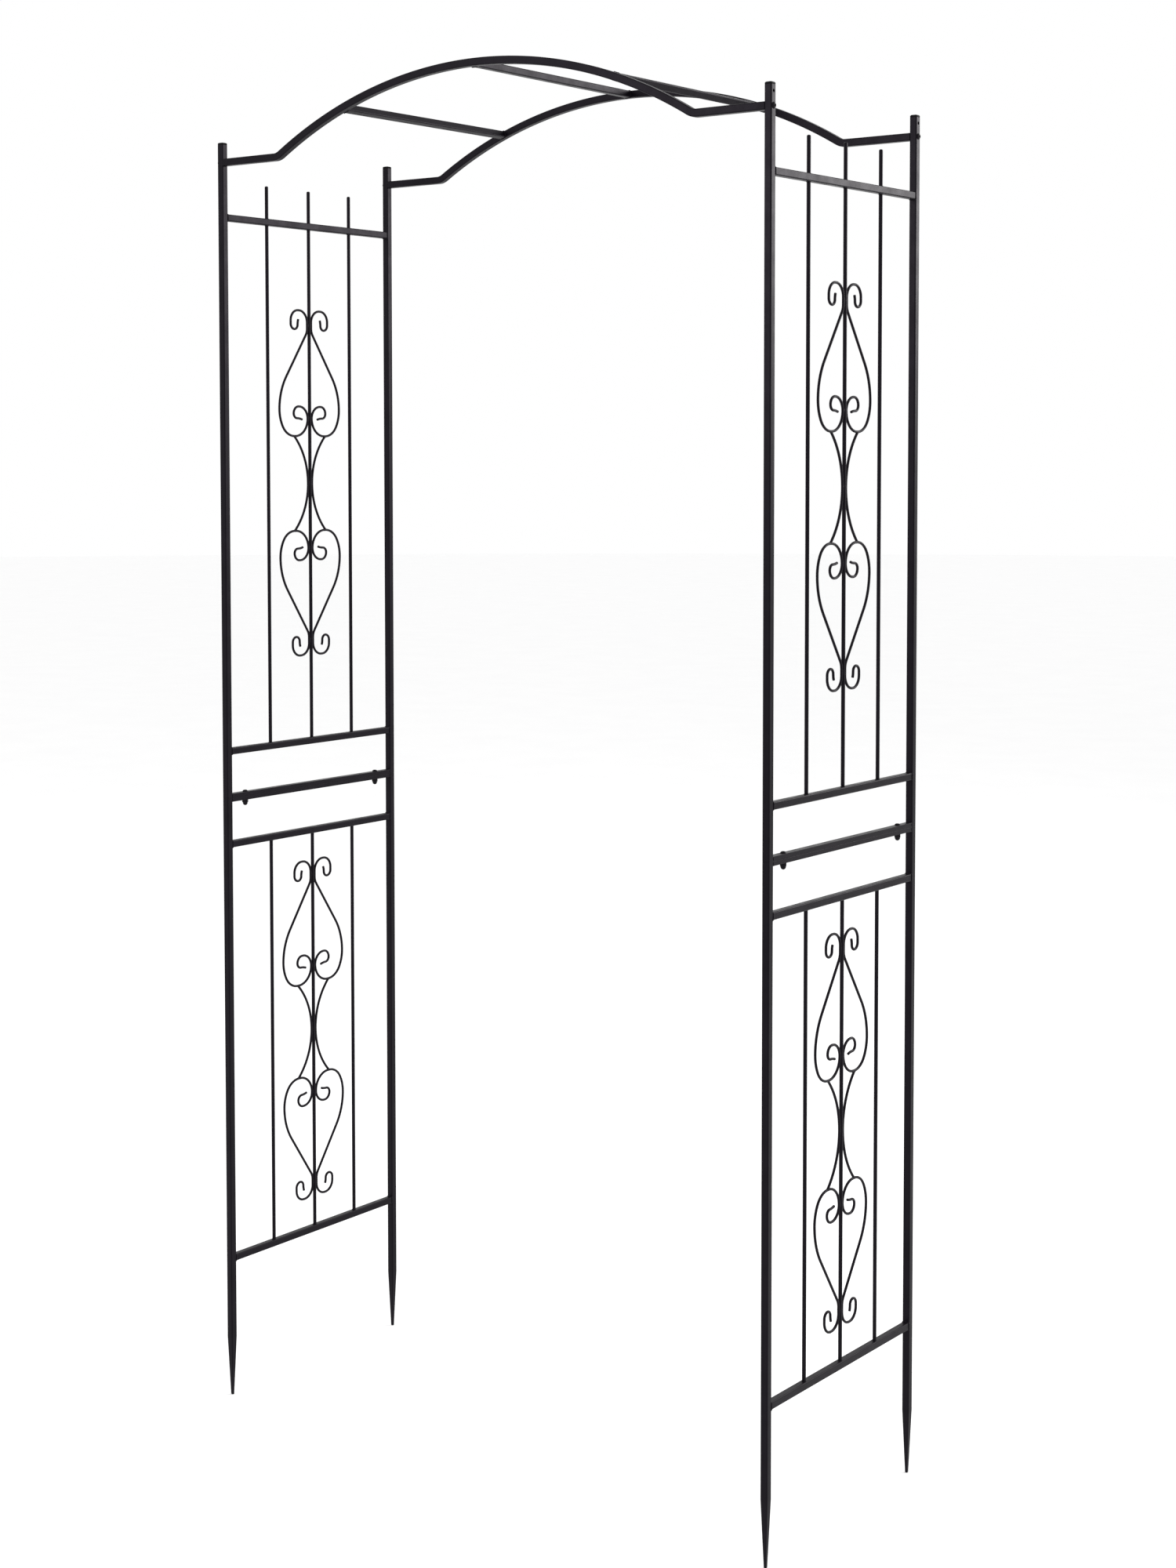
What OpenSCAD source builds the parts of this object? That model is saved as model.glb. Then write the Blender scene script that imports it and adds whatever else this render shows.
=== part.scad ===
// Garden trellis arch: two ladder-like side panels of square steel tube,
// joined over the path by a pair of bent arch tubes and three cross bars.
// X runs across the path, Y runs along it (the front is -Y) and Z is up.
// The origin is on the ground in the middle, level with the spike tips.

/* [Overall] */
// Distance across the path between the centre lines of the posts
span = 1170; // [1130:10:1400]
// Distance along the path between the centre lines of the posts
depth = 445; // [425:5:600]
// Height from the spike tips to the tops of the post caps
height = 2300; // [2290:5:2400]

/* [Tubes] */
// Width of the square post and arch tube
tube_w = 13; // [12.8:0.1:16]
// Wall thickness of every tube
tube_wall = 1; // [0.8:0.1:1.5]
// Radius on the long edges of every tube
tube_corner = 2; // [1.6:0.1:3]
// Width of the square rail tube
rail_w = 12.5; // [11:0.5:12.5]
// Thickness of one of the two flat joint rails
joint_rail_t = 7.5; // [5:0.5:9]

/* [Rail heights] */
// Centre height of the top rail
top_rail_z = 2166; // [2155:1:2190]
// Centre height of the rail that closes the upper panel below
upper_sill_z = 1196.5; // [1170:0.5:1220]
// Height of the seam between the upper and the lower half
joint_z = 1111; // [1090:1:1130]
// Centre height of the rail that closes the lower panel above
lower_head_z = 1025.5; // [1000:0.5:1050]
// Centre height of the bottom rail
bottom_rail_z = 256.5; // [230:0.5:260]

/* [Bars] */
// Diameter of the upright bars
bar_d = 6.5; // [5:0.5:8]
// Distance from the middle bar to each of its neighbours
bar_pitch = 111; // [104:1:120]
// Height of the upper bars above the middle of the top rail
bar_rise = 66; // [50:1:75]

/* [Scrolls] */
// Diameter of the scroll wire
wire_d = 4.5; // [3.5:0.5:5]
// Height of the big curls' lowest point above the panel's middle
bow_half = 89; // [80:1:95]
// Height of the small curls' centres above the panel's middle
small_curl_z = 302.5; // [290:0.5:310]
// Radius of the bend above the scrolls' widest point
shoulder_r = 110; // [95:5:120]
// Radius of the bend below the scrolls' widest point
belly_r = 64; // [56:1:72]
// First radius of the big curl
big_curl_r = 35; // [33:0.5:37]
// First radius of the small curl
small_curl_r = 22; // [20:0.5:24]

/* [Arch] */
// Height of the arch tube's level ends
arch_end_z = 2264; // [2255:1:2270]
// Rise of the arch tube from its ends to its crown
arch_rise = 122; // [100:1:140]
// Radius of the arch tube's centre line over the path
arch_r = 872; // [840:2:1000]
// Radius of the bend between a level end and the curve
arch_bend_r = 30; // [25:1:60]
// Distance from the middle to each outer cross bar
cross_x = 290; // [240:5:330]

/* [Spikes] */
// Length of the tapered point on each leg
spike_h = 110; // [80:5:130]
// Width of the blunt tip
spike_tip = 4.5; // [4:0.5:6]

/* [Fasteners] */
// Diameter of every bolt shank
bolt_d = 6; // [5:0.5:6]
// Diameter of a domed bolt head
head_d = 10.5; // [10:0.5:12]
// Height of a domed bolt head
head_h = 3.5; // [3:0.5:4]
// Distance of each joint bolt from the panel's middle
joint_bolt_y = 178; // [160:1:190]
// Diameter of the spare hole near each post top
spare_hole_d = 5.5; // [4:0.5:6]

/* [Hidden] */
$fa = 4;
$fs = 0.4;

left = -1;
right = 1;
front = -1;
back = 1;
frame_colour = "#25222a";
fastener_colour = "#1b1a1e";
cap_colour = "#17161a";
steel_colour = "#8a8c90";

// Post caps
cap_h = 4;
cap_plug_h = 4;
cap_dome_r = 14;
post_top_z = height - cap_h;
// Square sleeves inside the posts, across the seam
post_plug_h = 80;
slide_fit = 0.2;
bore_w = tube_w - 2 * tube_wall;
// Holes and threads
bolt_hole_d = bolt_d + 0.4;
thread_clearance = 0.1;
spare_hole_z = arch_end_z + 22;
nut_block_l = 14;
nut_block_w = bore_w - 2 * slide_fit;
arch_bolt_l = tube_w + 12;
socket_af = 4;
socket_depth = 2;
cap_nut_af = 10;
cap_nut_h = 5.5;
cap_nut_dome_h = 5.5;
bar_hole_d = bar_d + 0.2;
// Rail and cross bar lengths, from face to face of the tubes that they meet
rail_l = depth - tube_w;
// Panel middles, where the scrolls are centred
upper_mid_z = (top_rail_z + upper_sill_z) / 2 + 3;
lower_mid_z = (lower_head_z + bottom_rail_z) / 2 + 2;
// How much wider than the wire or tube a bead or collar is
bead = 0.1;
collar_l = 3;
// Where a wire's centre line is when the wire touches the middle bar
touch_y = (bar_d + wire_d) / 2;
// Arch tube centre line: crown arc, bend circle and the angle that they share
crown_centre_z = arch_end_z + arch_rise - arch_r;
bend_x = sqrt(pow(arch_r + arch_bend_r, 2) - pow(arch_r - arch_rise + arch_bend_r, 2));
arch_angle = asin(bend_x / (arch_r + arch_bend_r));
arch_end_x = (span - tube_w) / 2;
// Quarter turns of the curls, from the flank inwards: radius, then the straight run after it
big_turns = [[big_curl_r, 3.5], [33, 0], [22.5, 2], [13, 0], [9, 0]];
small_turns = [[small_curl_r, 2.5], [19.5, 6], [10, 0], [8.5, 0]];
// Opposite bend at the tip of each curl
big_tail_r = 40;
small_tail_r = 30;
tail_turn = 20;
quarter = 90;
// Scroll wire: big curl, belly and shoulder about the widest point, flank, neck and small curl
belly_turn = 30;
neck_l = 11.5;
big_centre = [touch_y + big_turns[1][0] + big_turns[0][1], bow_half + big_curl_r];
belly_centre = big_centre - (belly_r - big_curl_r) * [cos(belly_turn), -sin(belly_turn)];
shoulder_centre = belly_centre - [shoulder_r - belly_r, 0];
small_centre = [touch_y + small_curl_r, small_curl_z];
neck_centre = small_centre - [0, neck_l];
// The straight flank touches the shoulder and the neck on opposite sides
flank_gap = neck_centre - shoulder_centre;
flank_turn = atan2(flank_gap[1], flank_gap[0]) - acos((shoulder_r + small_curl_r) / norm(flank_gap));
flank_out = [cos(flank_turn), sin(flank_turn)];
flank_l = sqrt(pow(norm(flank_gap), 2) - pow(shoulder_r + small_curl_r, 2));
// Bow wires: a circular arc through both big curls and the middle bar
bow_end_y = big_centre[0];
bow_r = (pow(bow_half, 2) + pow(bow_end_y - touch_y, 2)) / (2 * (bow_end_y - touch_y));
bow_angle = asin(bow_half / bow_r);

// Square with rounded corners, centred
module rounded_square(w, r) {
    square([w - 2 * r, w], center = true);
    square([w, w - 2 * r], center = true);
    for (x = [-1, 1], y = [-1, 1])
        translate([x * (w / 2 - r), y * (w / 2 - r)])
            circle(r);
}

// Section of a square tube
module tube_section(w) {
    difference() {
        rounded_square(w, tube_corner);
        rounded_square(w - 2 * tube_wall, tube_corner - tube_wall);
    }
}

// Turns a drawing so that its x runs along Y and its y runs up
module in_panel() {
    rotate([90, 0, 90])
        children();
}

// Round hole along X at height z, centred on x
module cross_hole(d, z, x, length) {
    translate([x, 0, z])
        rotate([0, 90, 0])
            cylinder(d = d, h = length, center = true);
}

module upper_post(side, end) {
    color(frame_colour)
        translate([side * span / 2, end * depth / 2, 0])
            difference() {
                translate([0, 0, joint_z])
                    linear_extrude(post_top_z - joint_z)
                        tube_section(tube_w);
                cross_hole(bolt_hole_d, arch_end_z, 0, 2 * tube_w);
                cross_hole(spare_hole_d, spare_hole_z, side * (tube_w - tube_wall) / 2, 3 * tube_wall);
            }
}

module lower_post(side, end) {
    color(frame_colour)
        translate([side * span / 2, end * depth / 2, spike_h]) {
            linear_extrude(joint_z - spike_h)
                tube_section(tube_w);
            rotate([180, 0, 0])
                linear_extrude(spike_h, scale = spike_tip / tube_w)
                    rounded_square(tube_w, tube_corner, $fn = 16);
        }
}

// Square tube rail between the two posts of one side
module rail(side, z, holes = false) {
    color(frame_colour)
        translate([side * span / 2, 0, z])
            difference() {
                rotate([90, 0, 0])
                    linear_extrude(rail_l, center = true)
                        tube_section(rail_w);
                if (holes)
                    for (i = [-1:1])
                        translate([0, i * bar_pitch, 0])
                            cylinder(d = bar_hole_d, h = 2 * rail_w, center = true);
            }
}

// Flat rail of the bolted joint; level is 1 above the seam and -1 below it
module joint_rail(side, level) {
    color(frame_colour)
        translate([side * span / 2, 0, joint_z + level * joint_rail_t / 2])
            difference() {
                cube([rail_w, rail_l, joint_rail_t], center = true);
                for (end = [-1, 1])
                    translate([0, end * joint_bolt_y, 0])
                        cylinder(d = bolt_hole_d, h = 2 * joint_rail_t, center = true);
            }
}

// Upper bar, through the top rail to a rounded tip
module upper_bar(side, place) {
    bottom_z = upper_sill_z + rail_w / 2;
    tip_z = top_rail_z + bar_rise - bar_d / 2;
    color(frame_colour)
        translate([side * span / 2, place * bar_pitch, bottom_z]) {
            cylinder(d = bar_d, h = tip_z - bottom_z);
            translate([0, 0, tip_z - bottom_z])
                sphere(d = bar_d);
        }
}

module lower_bar(side, place) {
    bottom_z = bottom_rail_z + rail_w / 2;
    color(frame_colour)
        translate([side * span / 2, place * bar_pitch, bottom_z])
            cylinder(d = bar_d, h = lower_head_z - rail_w / 2 - bottom_z);
}

// Wire bent along one arc, from angle a through turn degrees anticlockwise
module wire_arc(centre, r, a, turn) {
    translate([centre[0], centre[1], 0])
        rotate_extrude(angle = turn, start = a)
            translate([r, 0])
                circle(d = wire_d);
}

// Straight wire from a point, with its heading in degrees anticlockwise from the first axis
module wire_run(from, heading, length) {
    translate([from[0], from[1], 0])
        rotate([0, 90, heading])
            cylinder(d = wire_d, h = length);
}

// Clockwise curl: arcs of shrinking radius that meet every quarter turn, and a tail bent the other way
module curl(centre, turns, start, stop, tail_r, i = 0) {
    r = turns[i][0];
    run = turns[i][1];
    out = [cos(stop), sin(stop)];
    ahead = [out[1], -out[0]];
    wire_arc(centre, r, stop, start - stop);
    if (run > 0)
        wire_run(centre + r * out, stop - quarter, run);
    if (i < len(turns) - 1)
        curl(centre + run * ahead + (r - turns[i + 1][0]) * out, turns, stop, stop - quarter, tail_r, i + 1);
    else
        wire_arc(centre + (r + tail_r) * out, tail_r, stop + 2 * quarter, tail_turn);
}

// Bead over the place where two lengths of wire meet at angle a of a bend
module wire_bead(centre, r, a) {
    translate([centre[0] + r * cos(a), centre[1] + r * sin(a), 0])
        rotate([quarter, 0, a])
            sphere(d = wire_d + bead);
}

// One S-shaped wire
module scroll_wire() {
    curl(big_centre, big_turns, -belly_turn, -quarter, big_tail_r);
    wire_bead(big_centre, big_curl_r, -belly_turn);
    wire_arc(belly_centre, belly_r, -belly_turn, belly_turn);
    wire_arc(shoulder_centre, shoulder_r, 0, flank_turn);
    wire_bead(shoulder_centre, shoulder_r, flank_turn);
    wire_run(shoulder_centre + shoulder_r * flank_out, flank_turn + quarter, flank_l);
    wire_bead(neck_centre, small_curl_r, flank_turn + 2 * quarter);
    wire_arc(neck_centre, small_curl_r, 2 * quarter, flank_turn);
    wire_run(neck_centre - [small_curl_r, 0], quarter, neck_l);
    curl(small_centre, small_turns, 2 * quarter, quarter, small_tail_r);
}

// The four S-shaped wires of one panel, mirrored about the middle bar and the panel's middle
module scrolls(side, mid_z) {
    color(frame_colour)
        translate([side * span / 2, 0, mid_z])
            in_panel()
                for (across = [0, 1], up = [0, 1])
                    mirror([across, 0, 0])
                        mirror([0, up, 0])
                            scroll_wire();
}

// The two bow wires of one panel, back to back on the middle bar
module bows(side, mid_z) {
    color(frame_colour)
        translate([side * span / 2, 0, mid_z])
            in_panel()
                for (across = [0, 1])
                    mirror([across, 0, 0])
                        wire_arc([touch_y + bow_r, 0], bow_r, 2 * quarter - bow_angle, 2 * bow_angle);
}

// Section of the collar that joins two bent lengths of tube
module collar_section() {
    difference() {
        rounded_square(tube_w + bead, tube_corner);
        rounded_square(tube_w - 2 * tube_wall - bead, tube_corner - tube_wall);
    }
}

// Bend, level end and collar of an arch tube, on the right
module arch_end() {
    translate([bend_x, arch_end_z + arch_bend_r, 0])
        rotate_extrude(angle = -arch_angle, start = -quarter)
            translate([arch_bend_r, 0])
                tube_section(tube_w);
    translate([bend_x, arch_end_z, 0])
        rotate([0, 90, 0])
            linear_extrude(arch_end_x - bend_x)
                tube_section(tube_w);
    translate([0, crown_centre_z, 0])
        rotate([0, 0, quarter - arch_angle])
            translate([arch_r, 0, 0])
                rotate([90, 0, 0])
                    linear_extrude(collar_l, center = true)
                        collar_section();
}

module arch_tube(end) {
    color(frame_colour)
        translate([0, end * depth / 2, 0])
            rotate([90, 0, 0]) {
                translate([0, crown_centre_z, 0])
                    rotate_extrude(angle = 2 * arch_angle, start = quarter - arch_angle)
                        translate([arch_r, 0])
                            tube_section(tube_w);
                for (across = [0, 1])
                    mirror([across, 0, 0])
                        arch_end();
            }
}

// Cross bar at place steps from the crown, square to the arch tubes
module cross_bar(place) {
    lean = asin(place * cross_x / arch_r);
    color(frame_colour)
        translate([0, 0, crown_centre_z])
            rotate([0, lean, 0])
                translate([0, 0, arch_r])
                    rotate([90, 0, 0])
                        linear_extrude(rail_l, center = true)
                            tube_section(rail_w);
}

// Puts one copy of a piece, drawn on a right-hand post, on each of the four posts
module on_posts() {
    for (side = [0, 1], end = [front, back])
        mirror([side, 0, 0])
            translate([span / 2, end * depth / 2, 0])
                children();
}

// Plastic cap with a low dome and a plug inside the tube
module post_caps() {
    color(cap_colour)
        on_posts()
            translate([0, 0, post_top_z]) {
                intersection() {
                    linear_extrude(cap_h)
                        rounded_square(tube_w, tube_corner);
                    translate([0, 0, cap_h - cap_dome_r])
                        sphere(cap_dome_r);
                }
                translate([0, 0, -cap_plug_h])
                    linear_extrude(cap_plug_h)
                        square(bore_w - slide_fit, center = true);
            }
}

// Square sleeve that lines up the two halves of a post
module post_plugs() {
    color(steel_colour)
        on_posts()
            translate([0, 0, joint_z])
                cube([bore_w - slide_fit, bore_w - slide_fit, post_plug_h], center = true);
}

// Domed head with a hexagon socket, above z = 0
module bolt_head() {
    dome_r = (pow(head_d / 2, 2) + pow(head_h, 2)) / (2 * head_h);
    difference() {
        intersection() {
            cylinder(d = head_d, h = head_h);
            translate([0, 0, head_h - dome_r])
                sphere(dome_r);
        }
        translate([0, 0, head_h - socket_depth])
            cylinder(d = socket_af / cos(30), h = head_h, $fn = 6);
    }
}

// Bolt with its head's seat at z = 0 and its shank below
module bolt(length) {
    bolt_head();
    translate([0, 0, -length])
        cylinder(d = bolt_d - thread_clearance, h = length);
}

// Bolts through the posts into the arch tubes
module arch_bolts() {
    color(fastener_colour)
        on_posts()
            translate([tube_w / 2, 0, arch_end_z])
                rotate([0, 90, 0])
                    bolt(arch_bolt_l);
}

// Tapped blocks in the ends of the arch tubes
module arch_nut_blocks() {
    color(steel_colour)
        on_posts()
            translate([-tube_w / 2 - nut_block_l / 2, 0, arch_end_z])
                difference() {
                    cube([nut_block_l, nut_block_w, nut_block_w], center = true);
                    rotate([0, 90, 0])
                        cylinder(d = bolt_d, h = 2 * nut_block_l, center = true);
                }
}

// Puts one copy of a piece on each of the four joint bolt places, at the seam
module on_joints() {
    for (side = [left, right], end = [front, back])
        translate([side * span / 2, end * joint_bolt_y, joint_z])
            children();
}

module joint_bolts() {
    color(fastener_colour)
        on_joints()
            translate([0, 0, joint_rail_t])
                bolt(2 * joint_rail_t + cap_nut_h);
}

// Closed hexagon nuts under the joint rails
module joint_cap_nuts() {
    dome_r = (pow(cap_nut_af / 2, 2) + pow(cap_nut_dome_h, 2)) / (2 * cap_nut_dome_h);
    color(fastener_colour)
        on_joints()
            translate([0, 0, -joint_rail_t])
                rotate([180, 0, 0])
                    difference() {
                        union() {
                            cylinder(d = cap_nut_af / cos(30), h = cap_nut_h, $fn = 6);
                            intersection() {
                                cylinder(d = cap_nut_af, h = cap_nut_h + cap_nut_dome_h);
                                translate([0, 0, cap_nut_h + cap_nut_dome_h - dome_r])
                                    sphere(dome_r);
                            }
                        }
                        translate([0, 0, -1])
                            cylinder(d = bolt_d, h = cap_nut_h + 2);
                    }
}

upper_post(left, front);  // left_front_upper_post
upper_post(left, back);  // left_back_upper_post
upper_post(right, front);  // right_front_upper_post
upper_post(right, back);  // right_back_upper_post
lower_post(left, front);  // left_front_lower_post
lower_post(left, back);  // left_back_lower_post
lower_post(right, front);  // right_front_lower_post
lower_post(right, back);  // right_back_lower_post
rail(left, top_rail_z, true);  // left_top_rail
rail(left, upper_sill_z);  // left_upper_sill
joint_rail(left, 1);  // left_upper_joint_rail
joint_rail(left, -1);  // left_lower_joint_rail
rail(left, lower_head_z);  // left_lower_head
rail(left, bottom_rail_z);  // left_bottom_rail
rail(right, top_rail_z, true);  // right_top_rail
rail(right, upper_sill_z);  // right_upper_sill
joint_rail(right, 1);  // right_upper_joint_rail
joint_rail(right, -1);  // right_lower_joint_rail
rail(right, lower_head_z);  // right_lower_head
rail(right, bottom_rail_z);  // right_bottom_rail
upper_bar(left, -1);  // left_upper_front_bar
upper_bar(left, 0);  // left_upper_middle_bar
upper_bar(left, 1);  // left_upper_back_bar
lower_bar(left, -1);  // left_lower_front_bar
lower_bar(left, 0);  // left_lower_middle_bar
lower_bar(left, 1);  // left_lower_back_bar
upper_bar(right, -1);  // right_upper_front_bar
upper_bar(right, 0);  // right_upper_middle_bar
upper_bar(right, 1);  // right_upper_back_bar
lower_bar(right, -1);  // right_lower_front_bar
lower_bar(right, 0);  // right_lower_middle_bar
lower_bar(right, 1);  // right_lower_back_bar
scrolls(left, upper_mid_z);  // left_upper_scrolls
scrolls(left, lower_mid_z);  // left_lower_scrolls
scrolls(right, upper_mid_z);  // right_upper_scrolls
scrolls(right, lower_mid_z);  // right_lower_scrolls
bows(left, upper_mid_z);  // left_upper_bows
bows(left, lower_mid_z);  // left_lower_bows
bows(right, upper_mid_z);  // right_upper_bows
bows(right, lower_mid_z);  // right_lower_bows
arch_tube(front);  // front_arch_tube
arch_tube(back);  // back_arch_tube
cross_bar(-1);  // left_cross_bar
cross_bar(0);  // middle_cross_bar
cross_bar(1);  // right_cross_bar
post_caps();
post_plugs();
arch_bolts();
arch_nut_blocks();
joint_bolts();
joint_cap_nuts();
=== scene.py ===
"""Looks of the garden trellis arch: black powder-coated steel tube, bars and scroll wire.

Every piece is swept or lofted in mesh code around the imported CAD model, in metres, in its frame.
+X is across the path to the right, +Y is along the path away from the front, +Z is up.
"""
import math
import random

import bpy
from mathutils import Matrix, Vector


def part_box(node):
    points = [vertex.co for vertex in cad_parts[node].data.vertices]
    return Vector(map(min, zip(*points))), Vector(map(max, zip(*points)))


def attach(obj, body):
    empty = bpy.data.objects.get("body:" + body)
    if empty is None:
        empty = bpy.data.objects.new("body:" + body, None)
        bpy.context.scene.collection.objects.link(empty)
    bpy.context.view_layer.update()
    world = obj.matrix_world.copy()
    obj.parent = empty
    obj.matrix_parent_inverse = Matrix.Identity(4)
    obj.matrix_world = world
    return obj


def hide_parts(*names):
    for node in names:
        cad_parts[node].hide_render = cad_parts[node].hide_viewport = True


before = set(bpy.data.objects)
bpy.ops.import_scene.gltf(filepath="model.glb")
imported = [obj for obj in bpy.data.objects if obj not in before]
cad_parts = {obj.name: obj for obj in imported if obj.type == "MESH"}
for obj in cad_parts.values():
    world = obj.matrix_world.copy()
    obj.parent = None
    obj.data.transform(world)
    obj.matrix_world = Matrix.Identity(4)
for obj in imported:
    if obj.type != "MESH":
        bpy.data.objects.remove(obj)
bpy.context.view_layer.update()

MM = 0.001
X_AXIS = Vector((1, 0, 0))
Y_AXIS = Vector((0, 1, 0))
Z_AXIS = Vector((0, 0, 1))
SIDES = (("left", -1), ("right", 1))
ENDS = (("front", -1), ("back", 1))
HALVES = ("upper", "lower")

# ---------------------------------------------------------------- camera

CAMERA_PLACE = (2.5750, -3.3304, 1.7290)
CAMERA_YAW = 36.923
CAMERA_PITCH = 2.912
CAMERA_ROLL = -0.036
CAMERA_LENS = 55.327
CAMERA_RISE = -0.1288
CAMERA_SIGHT = 200


def make_camera():
    data = bpy.data.cameras.new("camera")
    data.lens = CAMERA_LENS
    data.shift_y = CAMERA_RISE
    data.clip_end = CAMERA_SIGHT
    camera = bpy.data.objects.new("camera", data)
    bpy.context.scene.collection.objects.link(camera)
    turn = (
        Matrix.Rotation(math.radians(CAMERA_YAW), 4, "Z")
        @ Matrix.Rotation(math.radians(90 - CAMERA_PITCH), 4, "X")
        @ Matrix.Rotation(math.radians(CAMERA_ROLL), 4, "Z")
    )
    camera.matrix_world = Matrix.Translation(CAMERA_PLACE) @ turn
    bpy.context.scene.camera = camera


make_camera()

# ---------------------------------------------------------------- materials

NOISE_SPAN = (0.3, 0.7)
FULL_SPAN = (0, 1)
SHEEN_TINT = (0.94, 0.84, 1.0)


def node_tree(name):
    material = bpy.data.materials.new(name)
    material.use_nodes = True
    tree = material.node_tree
    return material, tree, tree.nodes["Principled BSDF"]


def noise(tree, scale, detail, roughness, stretch=None):
    """Noise in the object's own coordinates, with scale in cycles per metre."""
    place = tree.nodes.new("ShaderNodeTexCoord")
    texture = tree.nodes.new("ShaderNodeTexNoise")
    texture.inputs["Scale"].default_value = scale
    texture.inputs["Detail"].default_value = detail
    texture.inputs["Roughness"].default_value = roughness
    if stretch:
        mapping = tree.nodes.new("ShaderNodeMapping")
        mapping.inputs["Scale"].default_value = stretch
        tree.links.new(place.outputs["Object"], mapping.inputs["Vector"])
        tree.links.new(mapping.outputs["Vector"], texture.inputs["Vector"])
    else:
        tree.links.new(place.outputs["Object"], texture.inputs["Vector"])
    return texture.outputs["Fac"]


def remap(tree, value, span, target=FULL_SPAN):
    """The value stretched from one span to another."""
    low, high = span
    to_low, to_high = target
    node = tree.nodes.new("ShaderNodeMapRange")
    tree.links.new(value, node.inputs["Value"])
    node.inputs["From Min"].default_value = low
    node.inputs["From Max"].default_value = high
    node.inputs["To Min"].default_value = to_low
    node.inputs["To Max"].default_value = to_high
    return node.outputs["Result"]


def multiply(tree, a, b):
    node = tree.nodes.new("ShaderNodeMath")
    node.operation = "MULTIPLY"
    tree.links.new(a, node.inputs[0])
    tree.links.new(b, node.inputs[1])
    return node.outputs["Value"]


def mix_colour(tree, factor, first, second):
    """Blend of two colours, each a tuple or a socket."""
    node = tree.nodes.new("ShaderNodeMix")
    node.data_type = "RGBA"
    tree.links.new(factor, node.inputs["Factor"])
    for socket, colour in ((node.inputs[6], first), (node.inputs[7], second)):
        if isinstance(colour, tuple):
            socket.default_value = (*colour, 1)
        else:
            tree.links.new(colour, socket)
    return node.outputs[2]


def bump(tree, height, distance, strength, below=None):
    node = tree.nodes.new("ShaderNodeBump")
    node.inputs["Strength"].default_value = strength
    node.inputs["Distance"].default_value = distance
    tree.links.new(height, node.inputs["Height"])
    if below:
        tree.links.new(below, node.inputs["Normal"])
    return node.outputs["Normal"]


def powder_coat(name, dark, light, dust, gloss):
    """Satin powder coat: orange-peel bump, faint mottling, and dust on faces that look up."""
    material, tree, shader = node_tree(name)
    mottle = remap(tree, noise(tree, 22, detail=5, roughness=0.62), NOISE_SPAN)
    coat = mix_colour(tree, mottle, dark, light)
    geometry = tree.nodes.new("ShaderNodeNewGeometry")
    split = tree.nodes.new("ShaderNodeSeparateXYZ")
    tree.links.new(geometry.outputs["Normal"], split.inputs["Vector"])
    facing_up = remap(tree, split.outputs["Z"], (0.35, 1))
    speckle = remap(tree, noise(tree, 210, detail=6, roughness=0.7), (0.42, 0.78), (0.06, 0.75))
    dusted = mix_colour(tree, multiply(tree, facing_up, speckle), coat, dust)
    tree.links.new(dusted, shader.inputs["Base Color"])
    patches = remap(tree, noise(tree, 34, detail=4, roughness=0.6), NOISE_SPAN, gloss)
    tree.links.new(patches, shader.inputs["Roughness"])
    wave_noise = noise(tree, 65, detail=2, roughness=0.5)
    waves = bump(tree, wave_noise, distance=0.0004, strength=0.16)
    peel_noise = noise(tree, 900, detail=3, roughness=0.55)
    peel = bump(tree, peel_noise, distance=0.00012, strength=0.26, below=waves)
    tree.links.new(peel, shader.inputs["Normal"])
    shader.inputs["Specular IOR Level"].default_value = 0.10
    shader.inputs["Specular Tint"].default_value = (*SHEEN_TINT, 1)
    return material


def moulded_plastic(name, dark, light):
    """Matt black moulded plastic with a fine spark-eroded grain."""
    material, tree, shader = node_tree(name)
    tone = remap(tree, noise(tree, 120, detail=4, roughness=0.6), NOISE_SPAN)
    tree.links.new(mix_colour(tree, tone, dark, light), shader.inputs["Base Color"])
    patches = remap(tree, noise(tree, 300, detail=3, roughness=0.5), NOISE_SPAN, (0.5, 0.66))
    tree.links.new(patches, shader.inputs["Roughness"])
    shader.inputs["Specular IOR Level"].default_value = 0.07
    grain = bump(tree, noise(tree, 2600, detail=2, roughness=0.6), distance=0.00008, strength=0.5)
    tree.links.new(grain, shader.inputs["Normal"])
    return material


def bare_steel(name):
    """Plain drawn steel with faint lengthwise streaks."""
    material, tree, shader = node_tree(name)
    streak = noise(tree, 160, detail=4, roughness=0.6, stretch=(1, 1, 0.05))
    tone = remap(tree, streak, NOISE_SPAN)
    steel = mix_colour(tree, tone, (0.38, 0.38, 0.39), (0.52, 0.52, 0.53))
    tree.links.new(steel, shader.inputs["Base Color"])
    tree.links.new(remap(tree, streak, NOISE_SPAN, (0.28, 0.42)), shader.inputs["Roughness"])
    shader.inputs["Metallic"].default_value = 1.0
    return material


def pale_floor(name):
    material, tree, shader = node_tree(name)
    tone = remap(tree, noise(tree, 3, detail=5, roughness=0.6), NOISE_SPAN)
    pale = mix_colour(tree, tone, (0.965, 0.965, 0.967), (0.985, 0.985, 0.985))
    tree.links.new(pale, shader.inputs["Base Color"])
    shader.inputs["Roughness"].default_value = 0.9
    shader.inputs["Specular IOR Level"].default_value = 0.1
    return material


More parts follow.
